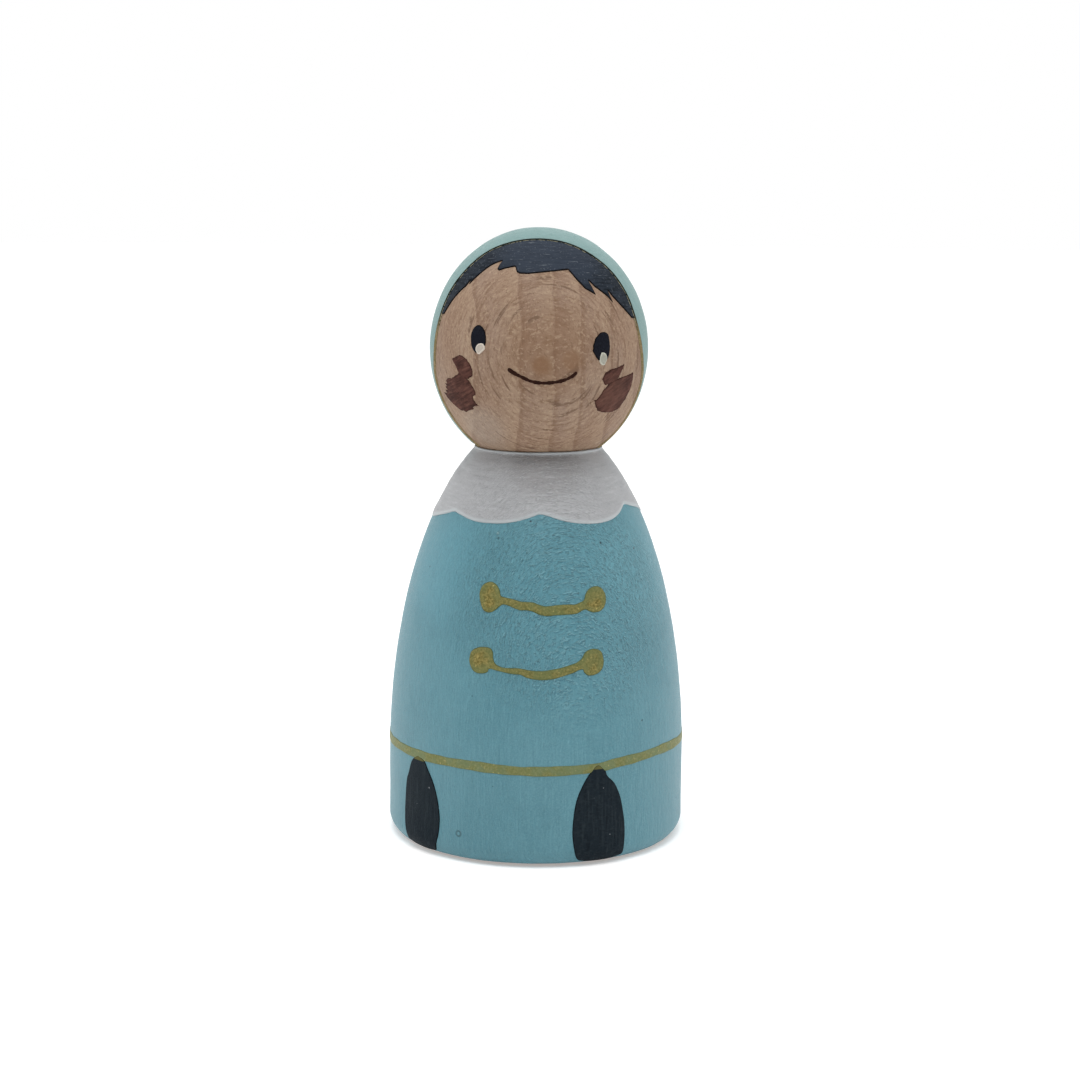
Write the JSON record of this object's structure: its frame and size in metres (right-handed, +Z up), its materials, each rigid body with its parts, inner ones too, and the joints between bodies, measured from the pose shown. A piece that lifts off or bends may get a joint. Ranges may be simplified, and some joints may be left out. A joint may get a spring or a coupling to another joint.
{
  "type": "peg doll",
  "caption": "Turned hardwood peg doll with egg-shaped head and bell-shaped body, painted with a hood, scalloped collar, coat with clasps and hem line, boots and a smiling face.",
  "frame": {"origin": "centre of the flat base, on the turning axis", "axes": "+Z up along the turning axis; the doll looks along -Y; its own left hand is on +X"},
  "size_m": [0.035, 0.035, 0.0712],
  "materials": {
    "bare_wood": "fine-sanded, bare, quarter-sawn ray fleck and growth rings",
    "coat_paint": "brushed acrylic paint, satin, wood grain showing through as relief",
    "collar_paint": "brushed acrylic paint, matt",
    "hood_paint": "brushed acrylic paint, satin",
    "trim_paint": "fine drawn line, dull gold",
    "hair_paint": "brushed acrylic paint, matt with fine scuffs",
    "eye_paint": "acrylic paint, satin",
    "glint_paint": "thick dots of acrylic paint",
    "smile_paint": "fine drawn line, matt",
    "cheek_paint": "thin dry-brushed acrylic paint, matt",
    "gold_paint": "granular gold acrylic paint, dull sheen",
    "boot_paint": "acrylic paint, satin with pale specks"
  },
  "bodies": {
    "root": {"turned_blank": "bare_wood", "coat": "coat_paint", "collar": "collar_paint", "hood": "hood_paint", "hood_trim": "trim_paint", "hair": "hair_paint", "right_eye": "eye_paint", "left_eye": "eye_paint", "right_eye_glint": "glint_paint", "left_eye_glint": "glint_paint", "smile": "smile_paint", "right_cheek": "cheek_paint", "left_cheek": "cheek_paint", "upper_clasp": "gold_paint", "lower_clasp": "gold_paint", "hem_line": "gold_paint", "right_boot": "boot_paint", "left_boot": "boot_paint"}
  },
  "joints": []
}
